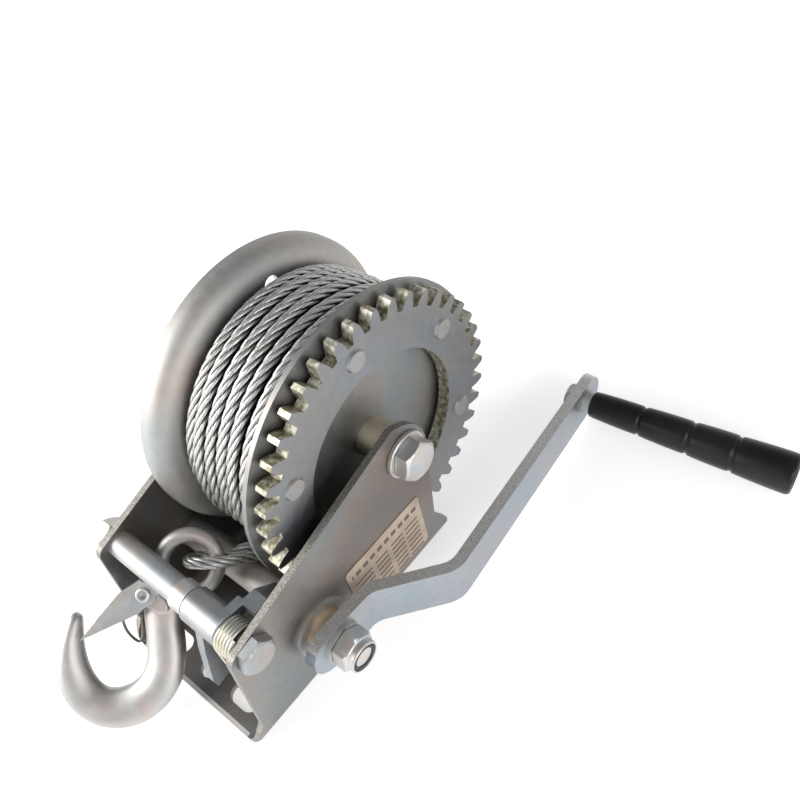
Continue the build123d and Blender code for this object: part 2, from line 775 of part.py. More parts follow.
def make_latch():
    """Sprung hook latch: two pressed ears outside the hook, joined by a web across the mouth."""
    near = HOOK_T / 2 + LATCH_GAP
    with BuildPart() as latch:
        for height in (near, -near - LATCH_T):
            with BuildSketch(hook_plane(height)):
                with BuildLine():
                    Polyline(*LATCH_EAR, close=True)
                make_face()
                with Locations(LATCH_PIN):
                    Circle(LATCH_BOSS_R)
                    Circle(LATCH_PIN_R + FIT, mode=Mode.SUBTRACT)
            extrude(amount=LATCH_T)
        with BuildSketch(hook_plane(-near - LATCH_T)):
            with BuildLine():
                Polyline(*LATCH_WEB, close=True)
            make_face()
        extrude(amount=2 * (near + LATCH_T))
    save(latch, "hook_latch")


def make_latch_rivet():
    reach = HOOK_T / 2 + LATCH_GAP + LATCH_T + 0.2
    with BuildPart() as rivet:
        with BuildSketch(hook_plane(-reach)):
            with Locations(LATCH_PIN):
                Circle(LATCH_PIN_R)
        extrude(amount=2 * reach)
        for height in (reach, -reach - RIVET_HEAD_T):
            with BuildSketch(hook_plane(height)):
                with Locations(LATCH_PIN):
                    Circle(RIVET_HEAD_R)
            extrude(amount=RIVET_HEAD_T)
    save(rivet, "latch_rivet")


def make_latch_spring():
    """Bent wire behind the latch web, pushing back against the hook's shank."""
    plane = hook_plane()
    points = [plane.from_local_coords((*point, 0)) for point in LATCH_SPRING]
    with BuildPart() as spring:
        with BuildLine() as path:
            FilletPolyline(*points, radius=LATCH_SPRING_BEND)
        with BuildSketch(Plane(origin=path.line @ 0, z_dir=path.line % 0)):
            Circle(LATCH_WIRE / 2)
        sweep()
    save(spring, "latch_spring")


# ---------------------------------------------------------------- rope
def route_radii(points):
    """Bend radius at each inner point: 0.45 of the shorter run over tan(half the turn)."""
    radii = []
    for before, here, after in zip(points, points[1:], points[2:]):
        first = here - before
        second = after - here
        turn = radians(first.get_angle(second))
        radii.append(0.45 * min(first.length, second.length) / tan(turn / 2))
    return radii


def make_rope(name, points):
    """Tube along straight runs joined by tangent arcs."""
    points = [Vector(*point) for point in points]
    radii = route_radii(points)
    with BuildPart() as rope:
        with BuildLine() as path:
            FilletPolyline(*points, radius=radii)
        with BuildSketch(Plane(origin=path.line @ 0, z_dir=path.line % 0)):
            Circle(ROPE_D / 2)
        sweep()
    length = path.wires()[0].length
    expected = length * pi * (ROPE_D / 2) ** 2
    print(name, "radii", [round(radius, 1) for radius in radii])
    print(name, "length", round(length, 1), "volume ratio", round(rope.part.volume / expected, 4))
    save(rope, name)


def ferrule_ends():
    """Start of the ferrule, its direction and the direction across its two ropes."""
    end, after = [Vector(*point) for point in ROPE_TAIL[:2]]
    direction = (after - end).normalized()
    across = direction.cross(Vector(0, 0, 1)).normalized()
    return end - direction * FERRULE_L, direction, across


def loop_points():
    """Loop through the hook's eye, its two ends led parallel into the ferrule."""
    plane = hook_plane()
    path = LOOP_HALF + [(across, down, -height) for across, down, height in reversed(LOOP_HALF)]
    ring = [plane.from_local_coords(point) for point in path]
    start, direction, spread = ferrule_ends()
    first = start + spread * LOOP_SPREAD
    last = start - spread * LOOP_SPREAD
    lead = direction * LOOP_LEAD
    return [first, first - lead, *ring, last - lead, last]


def make_ferrule():
    """Pressed aluminium sleeve that closes the rope's loop."""
    start, direction, spread = ferrule_ends()
    with BuildPart() as ferrule:
        with BuildSketch(Plane(origin=start, x_dir=spread, z_dir=direction)):
            SlotOverall(FERRULE_W, FERRULE_H)
        extrude(amount=FERRULE_L)
        chamfer(ferrule.edges().group_by(Axis(start, direction))[0], 0.8)
    save(ferrule, "rope_ferrule")


def main():
    left = -HALF_W
    make_frame()
    make_label()
    make_gear("drum_gear", AXLE, GEAR_X, GEAR_X + GEAR_T, GEAR_TEETH, GEAR_BORE_R, GEAR_PHASE)
    make_gear("drive_pinion", SHAFT, PINION_X, PINION_END, PINION_TEETH, SHAFT_R, PINION_PHASE)
    make_left_flange()
    make_right_flange()
    make_rivets()
    make_winding()
    make_anchor()
    tube("drum_core", AXLE, FLANGE_L_X + FLANGE_T, FLANGE_R_X, CORE_R, CORE_R - CORE_WALL)
    tube("drum_hub", AXLE, -HUB_END, HUB_END, HUB_R, SLEEVE_R + FIT)
    tube("axle_sleeve", AXLE, -INNER, INNER, SLEEVE_R, AXLE_R)
    nut_face = left - AXLE_WASHER_T
    nut_end = nut_face - AXLE_NUT_H
    bolt_end = nut_end - AXLE_THREAD_OUT
    make_bolt("axle_bolt", AXLE, bolt_end, HALF_W, AXLE_R, AXLE_FLATS, AXLE_HEAD_H, AXLE_WASHER_T)
    tube("axle_washer_right", AXLE, HALF_W, HALF_W + AXLE_WASHER_T, AXLE_WASHER_R, AXLE_R)
    tube("axle_washer_left", AXLE, nut_face, left, AXLE_WASHER_R, AXLE_R)
    make_nut("axle_nut", AXLE, nut_end, nut_face, AXLE_R, AXLE_FLATS)
    front_end = left - FRONT_NUT_H
    bolt_end = front_end - FRONT_THREAD_OUT
    make_bolt("front_bolt", FRONT, bolt_end, HALF_W, FRONT_BOLT_R, FRONT_FLATS, FRONT_HEAD_H)
    make_nut("front_nut", FRONT, front_end, left, FRONT_BOLT_R, FRONT_FLATS)
    tube("front_tube", FRONT, -INNER, INNER, TUBE_R, TUBE_BORE_R)
    collar_end = PAWL_X0 - COLLAR_GAP
    tube("front_collar", FRONT, collar_end - COLLAR_L, collar_end, COLLAR_R, TUBE_R)
    make_shaft()
    tube("shaft_sleeve", SHAFT, SHAFT_SLEEVE_INSET - INNER, PINION_X, SHAFT_SLEEVE_R, SHAFT_R)
    tube("shaft_bush_right", SHAFT, INNER - BUSH_INSET_RIGHT, RIGHT_BUSH_END, RIGHT_BUSH_R, SHAFT_R + FIT)
    bush_end = left - LEFT_BUSH_OUT
    tube("shaft_bush_left", SHAFT, bush_end, BUSH_INSET_LEFT - INNER, LEFT_BUSH_R, JOURNAL_R + FIT)
    tube("bearing_ring", SHAFT, HALF_W, HALF_W + BEARING_RING_T, BEARING_RING_R, RIGHT_BUSH_R)
    clip_end = left - CIRCLIP_OUT
    tube("shaft_circlip", SHAFT, clip_end - CIRCLIP_T, clip_end, CIRCLIP_R, JOURNAL_R)
    arm_face = ARM_X + ARM_T
    tube("arm_washer", SHAFT, arm_face, arm_face + ARM_WASHER_T, ARM_WASHER_R, JOURNAL_R)
    collar = (SHAFT_NUT_COLLAR_R, SHAFT_NUT_END)
    make_nut("shaft_nut", SHAFT, *SHAFT_NUT_X, SHAFT_NUT_BORE_R, SHAFT_NUT_FLATS, *collar)
    insert_x = (SHAFT_NUT_END - NYLON_T, SHAFT_NUT_END - INSERT_SET_BACK)
    tube("nut_insert", SHAFT, *insert_x, INSERT_R, SHAFT_NUT_BORE_R)
    make_arm()
    make_grip_bolt()
    make_grip()
    make_pawl()
    make_pawl_spring()
    make_hook()
    make_latch()
    make_latch_rivet()
    make_latch_spring()
    make_rope("rope_loop", loop_points())
    make_rope("rope_tail", ROPE_TAIL)
    make_ferrule()


main()
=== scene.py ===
"""Visual model of a boat trailer winch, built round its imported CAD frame."""
import json
from math import atan2, cos, pi, radians, sin, sqrt

import bmesh
import bpy
from mathutils import Matrix, Vector


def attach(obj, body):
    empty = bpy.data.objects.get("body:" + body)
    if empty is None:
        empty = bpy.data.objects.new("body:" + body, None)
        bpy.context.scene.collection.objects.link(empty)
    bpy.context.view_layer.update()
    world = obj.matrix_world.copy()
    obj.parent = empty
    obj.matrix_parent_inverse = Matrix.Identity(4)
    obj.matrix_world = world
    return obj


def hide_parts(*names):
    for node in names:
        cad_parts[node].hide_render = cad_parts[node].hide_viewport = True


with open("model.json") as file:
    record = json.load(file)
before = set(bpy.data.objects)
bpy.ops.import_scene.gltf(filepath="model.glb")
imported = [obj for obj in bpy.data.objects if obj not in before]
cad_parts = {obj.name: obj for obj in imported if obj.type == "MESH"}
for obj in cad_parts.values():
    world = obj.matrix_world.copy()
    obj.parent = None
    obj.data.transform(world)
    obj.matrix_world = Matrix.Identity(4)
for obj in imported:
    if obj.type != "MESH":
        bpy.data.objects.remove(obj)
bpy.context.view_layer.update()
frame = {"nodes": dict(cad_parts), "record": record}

MM = 0.001

CAMERA_PLACE = (0.23991, -0.09402, 0.39388)
CAMERA_RIGHT = Vector((0.75989, 0.62775, -0.16882))
CAMERA_UP = Vector((-0.39631, 0.65324, 0.64515))
CAMERA_BACK = Vector((0.51527, -0.42334, 0.74517))
CAMERA_LENS = 38.54
CAMERA_SENSOR = 36

# ---------------------------------------------------------------- places, in millimetres
AXLE = (57.5, 85.3)
SHAFT = (-16.7, 35.6)
FRONT = (-49.3, 67.3)

ROPE_R = 3.0
WIND_LEFT = -28.2
WIND_RIGHT = 25.6
WIND_PITCH = 7.6
WIND_START = 22.1
WIND_STRAIGHT = 0.72
WIND_TURNS = 7
WIND_ROPE_R = 3.4
WIND_INNER_TURNS = 8
WIND_LAYER = 5.8

HOOK_EYE = Vector((-16.6, -34.6, 55.3))
HOOK_NORMAL = Vector((0.513097, -0.451688, 0.72987))
HOOK_DOWN = Vector((-0.130161, -0.881448, -0.45399))
HOOK_ACROSS = HOOK_DOWN.cross(HOOK_NORMAL)
LATCH_PIN = (8.7, 22.4)
LATCH_SPRING = [(16, 34.4), (12, 40), (6, 44.4), (-1.2, 45.4), (-1.4, 42.0), (2.0, 37.5), (5.2, 33.4)]

GRIP_START = Vector((71.2857, 176.088, 15.3372))
GRIP_AXIS = Vector((0.993171, 0.116032, -0.012195))

ARM_EDGE = (0, 0.1045, 0.9945)

LABEL_MIDDLE_Y = 31.2
LABEL_INK_HALF = 24.0
LABEL_BOLD_FROM_Z = 39.5
LABEL_BOLD_ROW_Z = 43.4
LABEL_BOLD_HALF = 1.5
LABEL_BLOCK_PITCH = 5.2
LABEL_ROW_PITCH = 3.9
LABEL_INK = (0.11, 0.07, 0.05)

LOOP_HALF = [(-14.4, -12.4, 7.3), (1.0, -1.0, 8.0)]
LOOP_SPREAD = 3.2
LOOP_LEAD = 9.0
FERRULE_L = 18.5
ROPE_TAIL = [Vector(p) for p in ((6.5, 7.5, 30.8), (11.9, 21.3, 17.4), (15, 43, 14), (17.5, 62, 13.9))]


# ---------------------------------------------------------------- camera, floor and light
def make_camera():
    data = bpy.data.cameras.new("camera")
    data.sensor_width = CAMERA_SENSOR
    data.lens = CAMERA_LENS
    camera = bpy.data.objects.new("camera", data)
    turn = Matrix((CAMERA_RIGHT, CAMERA_UP, CAMERA_BACK)).transposed().to_4x4()
    camera.matrix_world = Matrix.Translation(CAMERA_PLACE) @ turn
    bpy.context.collection.objects.link(camera)
    bpy.context.scene.camera = camera


def area_light(name, place, target, size, power, colour=(1, 1, 1)):
    data = bpy.data.lights.new(name, "AREA")
    data.shape = "RECTANGLE"
    data.size, data.size_y = size
    data.energy = power
    data.color = colour
    light = bpy.data.objects.new(name, data)
    light.location = place
    light.rotation_euler = (Vector(target) - Vector(place)).to_track_quat("-Z", "Y").to_euler()
    bpy.context.collection.objects.link(light)


def make_studio():
    bpy.ops.mesh.primitive_plane_add(size=12, location=(0, 0, -0.0003))
    floor = bpy.context.object
    floor.name = "floor"
    white = plain("floor_white", (0.86, 0.86, 0.86), 0.7)
    white.node_tree.nodes["Principled BSDF"].inputs["Emission Color"].default_value = (1, 1, 1, 1)
    white.node_tree.nodes["Principled BSDF"].inputs["Emission Strength"].default_value = 0.55
    floor.data.materials.append(white)
    middle = (0.03, 0.04, 0.07)
    area_light("key", (-0.9, -1.0, 0.8), middle, (1.2, 0.9), 27)
    area_light("side", (1.3, -0.3, 0.7), middle, (0.9, 0.6), 8)
    world = bpy.data.worlds.new("studio")
    world.use_nodes = True
    bpy.context.scene.world = world
    tree = world.node_tree
    place = tree.nodes.new("ShaderNodeTexCoord")
    split = tree.nodes.new("ShaderNodeSeparateXYZ")
    tree.links.new(place.outputs["Generated"], split.inputs[0])
    heights = [(0.0, (0.9, 0.9, 0.9)), (0.35, (0.62, 0.63, 0.64)), (0.8, (0.26, 0.26, 0.27))]
    sky = colour_ramp(tree, split.outputs["Z"], heights)
    tree.links.new(sky, tree.nodes["Background"].inputs["Color"])
    tree.nodes["Background"].inputs["Strength"].default_value = 1.0
    bpy.context.scene.view_settings.view_transform = "Standard"


# ---------------------------------------------------------------- materials
def plain(name, colour, roughness, metallic=0.0):
    material = bpy.data.materials.new(name)
    material.use_nodes = True
    shader = material.node_tree.nodes["Principled BSDF"]
    shader.inputs["Base Color"].default_value = (*colour, 1)
    shader.inputs["Roughness"].default_value = roughness
    shader.inputs["Metallic"].default_value = metallic
    return material


def add_node(tree, kind, **inputs):
    made = tree.nodes.new(kind)
    for name, value in inputs.items():
        made.inputs[name.replace("_", " ")].default_value = value
    return made


def noise(tree, coordinates, scale, detail=3.0, stretch=None):
    if stretch:
        mapping = add_node(tree, "ShaderNodeMapping", Scale=stretch)
        tree.links.new(coordinates, mapping.inputs["Vector"])
        coordinates = mapping.outputs[0]
    texture = add_node(tree, "ShaderNodeTexNoise", Scale=scale, Detail=detail)
    tree.links.new(coordinates, texture.inputs["Vector"])
    return texture.outputs["Fac"]


def colour_ramp(tree, factor, stops):
    ramp = tree.nodes.new("ShaderNodeValToRGB")
    while len(ramp.color_ramp.elements) < len(stops):
        ramp.color_ramp.elements.new(0.5)
    for element, (place, colour) in zip(ramp.color_ramp.elements, stops):
        element.position = place
        element.color = (*colour, 1)
    tree.links.new(factor, ramp.inputs["Fac"])
    return ramp.outputs[0]


def mix_colour(tree, factor, a, b, mode="MIX"):
    made = tree.nodes.new("ShaderNodeMix")
    made.data_type = "RGBA"
    made.blend_type = mode
    for value, socket in ((factor, made.inputs["Factor"]), (a, made.inputs[6]), (b, made.inputs[7])):
        if isinstance(value, (int, float)):
            socket.default_value = value
        elif isinstance(value, tuple):
            socket.default_value = (*value, 1)
        else:
            tree.links.new(value, socket)
    return made.outputs[2]


def remap(tree, value, low, high):
    made = add_node(tree, "ShaderNodeMapRange", To_Min=low, To_Max=high)
    tree.links.new(value, made.inputs["Value"])
    return made.outputs[0]


def bump(tree, height, distance, strength=1.0, normal=None):
    made = add_node(tree, "ShaderNodeBump", Strength=strength, Distance=distance)
    tree.links.new(height, made.inputs["Height"])
    if normal:
        tree.links.new(normal, made.inputs["Normal"])
    return made.outputs[0]


def zinc(
    name, colour, warm, cool, rough=(0.28, 0.42), blotch=28, grain=1400, grain_depth=0.00001, edges=None,
):
    """Zinc plated steel: broad tints, fine mottling, a faint grain, and its own sheared edges."""
    material = plain(name, colour, rough[0], 1.0)
    tree = material.node_tree
    shader = tree.nodes["Principled BSDF"]
    place = tree.nodes.new("ShaderNodeTexCoord")
    broad = noise(tree, place.outputs["Object"], blotch, 2.0)
    tint = colour_ramp(tree, broad, [(0.36, warm), (0.5, colour), (0.64, cool)])
    fine = noise(tree, place.outputs["Object"], grain / 6, 5.0)
    shade = colour_ramp(tree, fine, [(0.3, (0.84, 0.84, 0.84)), (0.7, (1.0, 1.0, 1.0))])
    plated = mix_colour(tree, 0.75, tint, shade, "MULTIPLY")
    roughness = remap(tree, fine, *rough)
    depth = remap(tree, noise(tree, place.outputs["Object"], grain, 2.0), 0.0, 0.35)
    if edges:
        torn = noise(tree, place.outputs["Object"], edges[4], 4.0)
        cut = colour_ramp(tree, torn, [(0.35, edges[0]), (0.5, edges[1]), (0.68, edges[2])])
        mask = edges[3](tree, place)
        plated = mix_colour(tree, mask, plated, cut)
        roughness = mix_value(tree, mask, roughness, remap(tree, torn, 0.45, 0.7))
        depth = mix_value(tree, mask, depth, torn)
    tree.links.new(plated, shader.inputs["Base Color"])
    tree.links.new(roughness, shader.inputs["Roughness"])
    tree.links.new(bump(tree, depth, grain_depth if not edges else 0.00008), shader.inputs["Normal"])
    return material


def calculate(tree, operation, *values):
    """Math node on numbers or sockets."""
    made = tree.nodes.new("ShaderNodeMath")
    made.operation = operation
    for value, socket in zip(values, made.inputs):
        if isinstance(value, (int, float)):
            socket.default_value = value
        else:
            tree.links.new(value, socket)
    return made.outputs[0]


def mix_value(tree, factor, a, b):
    return calculate(tree, "ADD", calculate(tree, "MULTIPLY", factor, b),
                     calculate(tree, "MULTIPLY", calculate(tree, "SUBTRACT", 1.0, factor), a))


def facing(tree, place, direction):
    """How squarely the surface faces along a direction, either way."""
    dot = tree.nodes.new("ShaderNodeVectorMath")
    dot.operation = "DOT_PRODUCT"
    dot.inputs[1].default_value = direction
    tree.links.new(place.outputs["Normal"], dot.inputs[0])
    return calculate(tree, "ABSOLUTE", dot.outputs["Value"])


def turned_from_axle(tree, place):
    return calculate(tree, "LESS_THAN", facing(tree, place, (1, 0, 0)), 0.6)


def folded_sheet_edges(tree, place):
    """The cheeks' edges and the base's ends, but not the base's faces."""
    split = tree.nodes.new("ShaderNodeSeparateXYZ")
    tree.links.new(place.outputs["Object"], split.inputs[0])
    high = calculate(tree, "GREATER_THAN", split.outputs["Z"], 9 * MM)
    upright = calculate(tree, "LESS_THAN", facing(tree, place, (0, 0, 1)), 0.6)
    wanted = calculate(tree, "MAXIMUM", high, upright)
    return calculate(tree, "MULTIPLY", turned_from_axle(tree, place), wanted)


def bar_edges(tree, place):
    return calculate(tree, "GREATER_THAN", facing(tree, place, ARM_EDGE), 0.6)


def rope_material():
    """Galvanised wires with a dull patch here and there, and painted shade from the vertex colours: bright
    crowns and grey grooves.
    """
    material = plain("wire_rope_steel", (0.80, 0.80, 0.78), 0.42, 1.0)
    tree = material.node_tree
    shader = tree.nodes["Principled BSDF"]
    place = tree.nodes.new("ShaderNodeTexCoord")
    fine = noise(tree, place.outputs["Object"], 500, 3.0)
    tint = colour_ramp(tree, fine, [(0.3, (0.66, 0.65, 0.62)), (0.7, (0.92, 0.92, 0.90))])
    # The vertex colours are painted shade, multiplied into the wires' colour.
    painted_groove_shade = tree.nodes.new("ShaderNodeVertexColor")
    painted_groove_shade.layer_name = "painted_groove_shade"
    wires = mix_colour(tree, 1.0, tint, painted_groove_shade.outputs["Color"], "MULTIPLY")
    tree.links.new(wires, shader.inputs["Base Color"])
    tree.links.new(remap(tree, fine, 0.36, 0.52), shader.inputs["Roughness"])
    return material


def bronze():
    material = zinc("bronze_bush", (0.60, 0.49, 0.36), (0.64, 0.50, 0.34), (0.54, 0.46, 0.36), (0.4, 0.55))
    return material


def nylon_black():
    """Black nylon with a faint cloudy sheen."""
    material = plain("nylon_ring", (0.012, 0.012, 0.014), 0.4)
    tree = material.node_tree
    shader = tree.nodes["Principled BSDF"]
    cloud = noise(tree, tree.nodes.new("ShaderNodeTexCoord").outputs["Object"], 700)
    tree.links.new(remap(tree, cloud, 0.34, 0.55), shader.inputs["Roughness"])
    tint = colour_ramp(tree, cloud, [(0.3, (0.008, 0.008, 0.009)), (0.7, (0.02, 0.02, 0.021))])
    tree.links.new(tint, shader.inputs["Base Color"])
    return material


def grip_plastic():
    """Black moulded plastic with a fine matt texture and faint broad patches of lighter black."""
    material = plain("grip_plastic", (0.012, 0.012, 0.013), 0.35)
    tree = material.node_tree
    shader = tree.nodes["Principled BSDF"]
    place = tree.nodes.new("ShaderNodeTexCoord").outputs["Object"]
    fine = noise(tree, place, 900, 3.0)
    broad = noise(tree, place, 60, 3.0)
    tint = colour_ramp(tree, broad, [(0.35, (0.006, 0.006, 0.007)), (0.7, (0.015, 0.015, 0.016))])
    tree.links.new(tint, shader.inputs["Base Color"])
    shader.inputs["Specular IOR Level"].default_value = 0.32
    tree.links.new(remap(tree, fine, 0.26, 0.42), shader.inputs["Roughness"])
    tree.links.new(bump(tree, fine, 0.00002), shader.inputs["Normal"])
    return material


def label_material():
    """Copper-toned foil with a row of plain dark blocks and thin plain bars under it."""
    material = plain("label_foil", (0.66, 0.52, 0.40), 0.5, 0.25)
    tree = material.node_tree
    shader = tree.nodes["Principled BSDF"]
    place = tree.nodes.new("ShaderNodeTexCoord").outputs["Object"]
    cloud = noise(tree, place, 60, 4.0)
    foil = colour_ramp(tree, cloud, [(0.35, (0.50, 0.39, 0.30)), (0.68, (0.74, 0.60, 0.47))])
    split = tree.nodes.new("ShaderNodeSeparateXYZ")
    tree.links.new(place, split.inputs[0])
    along = split.outputs["Y"]
    height = split.outputs["Z"]
    bold = calculate(tree, "GREATER_THAN", height, LABEL_BOLD_FROM_Z * MM)
    from_bold = calculate(tree, "ABSOLUTE", calculate(tree, "SUBTRACT", height, LABEL_BOLD_ROW_Z * MM))
    bold_row = calculate(tree, "LESS_THAN", from_bold, LABEL_BOLD_HALF * MM)
    rows = calculate(tree, "SINE", calculate(tree, "MULTIPLY", height, 2 * pi / (LABEL_ROW_PITCH * MM)))
    bars = calculate(tree, "GREATER_THAN", noise(tree, place, 260, 0.0, (0.0, 1.0, 0.0)), 0.42)
    small_marks = calculate(tree, "MULTIPLY", calculate(tree, "GREATER_THAN", rows, 0.45), bars)
    blocks = calculate(tree, "SINE", calculate(tree, "MULTIPLY", along, 2 * pi / (LABEL_BLOCK_PITCH * MM)))
    bold_marks = calculate(tree, "MULTIPLY", bold_row, calculate(tree, "GREATER_THAN", blocks, -0.5))
    marks = mix_value(tree, bold, small_marks, bold_marks)
    from_middle = calculate(tree, "ABSOLUTE", calculate(tree, "SUBTRACT", along, LABEL_MIDDLE_Y * MM))
    inside = calculate(tree, "LESS_THAN", from_middle, LABEL_INK_HALF * MM)
    marks = calculate(tree, "MULTIPLY", marks, inside)
    inked = mix_colour(tree, calculate(tree, "MULTIPLY", marks, 0.85), foil, LABEL_INK)
    tree.links.new(inked, shader.inputs["Base Color"])
    return material


# ---------------------------------------------------------------- mesh helpers
def add_object(name, mesh, material, body, replaced=()):
    """Puts a finished mesh in the scene as a piece of the object."""
    made = bpy.data.objects.new(name, mesh)
    bpy.context.collection.objects.link(made)
    if material:
        mesh.materials.clear()
        mesh.materials.append(material)
    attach(made, body)
    if replaced:
        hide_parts(*replaced)
    return made


def smooth(mesh, angle=35):
    mesh.shade_smooth()
    mesh.set_sharp_from_angle(angle=radians(angle))


def evaluated(obj):
    """The object's mesh with its modifiers applied; the object itself is removed."""
    graph = bpy.context.evaluated_depsgraph_get()
    mesh = bpy.data.meshes.new_from_object(obj.evaluated_get(graph))
    bpy.data.objects.remove(obj)
    return mesh


def lathe(name, profile, origin, axis, steps=72, flats=0.0, twist=0.0):
    """Mesh turned from (distance, radius) points about an axis, cut to a hexagon where flats are given."""
    axis = axis.normalized()
    first = (Vector((0, 1, 0)) - axis * axis.y).normalized()
    second = axis.cross(first)
    shape = bmesh.new()
    rings = []
    for distance, radius in profile:
        centre = origin + axis * distance
        if radius < 1e-6:
            rings.append([shape.verts.new(centre * MM)])
            continue
        ring = []
        for index in range(steps):
            turn = 2 * pi * index / steps
            reach = radius
            if flats:
                reach = min(radius, flats / 2 / cos(turn % (pi / 3) - pi / 6))
            turn += radians(twist)
            ring.append(shape.verts.new((centre + (first * cos(turn) + second * sin(turn)) * reach) * MM))
        rings.append(ring)
    for low, high in zip(rings, rings[1:]):
        for index in range(steps):
            after = (index + 1) % steps
            near = [low[index % len(low)], low[after % len(low)]]
            far = [high[after % len(high)], high[index % len(high)]]
            face = list(dict.fromkeys([*near, *far]))
            if len(face) > 2:
                shape.faces.new(face)
    bmesh.ops.remove_doubles(shape, verts=shape.verts, dist=1e-7)
    bmesh.ops.recalc_face_normals(shape, faces=shape.faces)
    mesh = bpy.data.meshes.new(name)
    shape.to_mesh(mesh)
    shape.free()
    return mesh


def joined(name, meshes):
    """One mesh from several closed shells."""
    shape = bmesh.new()
    for mesh in meshes:
        shape.from_mesh(mesh)
        bpy.data.meshes.remove(mesh)
    whole = bpy.data.meshes.new(name)
    shape.to_mesh(whole)
    shape.free()
    smooth(whole, 18)
    return whole


def transported(points):
    """Points with a tangent and two sideways directions that never twist."""
    frames = []
    side_way = None
    for index, here in enumerate(points):
        before = points[max(0, index - 1)]
        after = points[min(len(points) - 1, index + 1)]
        tangent = (after - before).normalized()
        if side_way is None:
            side_way = tangent.orthogonal()
        side_way = (side_way - tangent * side_way.dot(tangent)).normalized()
        frames.append((here, tangent, side_way, tangent.cross(side_way)))
    return frames


def resampled(points, step):
    """The same line with points an even step apart."""
    lengths = [0.0]
    for a, b in zip(points, points[1:]):
        lengths.append(lengths[-1] + (b - a).length)
    count = max(2, round(lengths[-1] / step))
    result = []
    index = 0
    for number in range(count + 1):
        wanted = lengths[-1] * number / count
        while index < len(points) - 2 and lengths[index + 1] < wanted:
            index += 1
        share = (wanted - lengths[index]) / max(1e-9, lengths[index + 1] - lengths[index])
        result.append(points[index].lerp(points[index + 1], min(1.0, share)))
    return result


def stranded(name, points, step=1.2, strands=6, sides=14, lay=38.0, phase=0.0, radius=ROPE_R, axle=None):
    """Rope mesh: right-lay strands round the line, each ridged by its own wires, with painted shade in its
    vertex colours: darker in the grooves and, where an axle is given, between the wraps.
    """
    line = resampled(points, step)
    frames = transported(line)
    strand_r = radius / 3 * 1.16
    reach = radius - strand_r
    shape = bmesh.new()
    # Vertex colours that hold painted shade for the rope's grooves and for the gaps between its wraps.
    painted_groove_shade = shape.loops.layers.color.new("painted_groove_shade")
    painted_shades = {}
    distance = 0.0
    rings = [[] for _ in range(strands)]
    for index, (centre, tangent, u, v) in enumerate(frames):
        if index:
            distance += (centre - frames[index - 1][0]).length
        turn = phase + 2 * pi * distance / lay
        for number in range(strands):
            around = turn + 2 * pi * number / strands
            out = u * cos(around) + v * sin(around)
            cross = tangent.cross(out)
            middle = centre + out * reach
            ring = []
            for corner in range(sides):
                angle = 2 * pi * corner / sides - 2 * pi * distance / 17.0
                ridge = corner % 2 == 0
                spoke = strand_r * (1.0 if ridge else 0.88)
                way = out * cos(angle) + cross * sin(angle)
                vert = shape.verts.new((middle + way * spoke) * MM)
                depth = (middle + way * spoke - centre).length / radius
                # Painted shade: darker towards the rope's core, in the grooves between the strands.
                shade = 0.34 + 0.66 * max(0.0, min(1.0, (depth - 0.62) / 0.30))
                # Painted shade round the drum: each wrap goes dark on its sides beside its neighbours and on
                # its underside facing the drum.
                if axle:
                    away = Vector((0, centre.y - axle[0], centre.z - axle[1])).normalized()
                    rise = (middle + way * spoke - centre).dot(away) / radius
                    shade *= 0.10 + 0.90 * max(0.0, min(1.0, (rise + 0.05) / 0.62))
                # Painted shade between the wires: every second corner is darker.
                painted_shades[vert] = shade * (1.0 if ridge else 0.80)
                ring.append(vert)
            rings[number].append(ring)
    for lines in rings:
        for low, high in zip(lines, lines[1:]):
            for corner in range(sides):
                after = (corner + 1) % sides
                shape.faces.new((low[corner], low[after], high[after], high[corner]))
        shape.faces.new(list(reversed(lines[0])))
        shape.faces.new(lines[-1])
    for face in shape.faces:
        for loop in face.loops:
            shade = painted_shades[loop.vert]
            loop[painted_groove_shade] = (shade, shade, shade, 1)
    mesh = bpy.data.meshes.new(name)
    shape.to_mesh(mesh)
    shape.free()
    mesh.shade_smooth()
    return mesh


def round_bar(name, points, radius, sides=16, step=0.8):
    """Plain round wire along a line, with flat ends."""
    frames = transported(resampled(points, step))
    shape = bmesh.new()
    rings = []
    for centre, tangent, u, v in frames:
        turns = [2 * pi * index / sides for index in range(sides)]
        rings.append([shape.verts.new((centre + (u * cos(t) + v * sin(t)) * radius) * MM) for t in turns])
    for low, high in zip(rings, rings[1:]):
        for index in range(sides):
            after = (index + 1) % sides
            shape.faces.new((low[index], low[after], high[after], high[index]))
    shape.faces.new(list(reversed(rings[0])))
    shape.faces.new(rings[-1])
    mesh = bpy.data.meshes.new(name)
    shape.to_mesh(mesh)
    shape.free()
    smooth(mesh, 50)
    return mesh


# ---------------------------------------------------------------- rope
def hook_point(across, down, height=0.0):
    return HOOK_EYE + HOOK_ACROSS * across + HOOK_DOWN * down + HOOK_NORMAL * height


def route_curve(name, points):
    """Curve of one NURBS spline through the route, in metres."""
    data = bpy.data.curves.new(name, "CURVE")
    data.dimensions = "3D"
    data.resolution_u = 24
    spline = data.splines.new("NURBS")
    spline.points.add(len(points) - 1)
    for target, point in zip(spline.points, points):
        target.co = (*(point * MM), 1)
    spline.order_u = 3
    spline.use_endpoint_u = True
    return data


def route_line(points):
    """Points read from the route's NURBS spline, in millimetres."""
    curve = bpy.data.objects.new("route", route_curve("route", points))
    bpy.context.collection.objects.link(curve)
    mesh = evaluated(curve)
    line = [vertex.co / MM for vertex in mesh.vertices]
    bpy.data.meshes.remove(mesh)
    return line


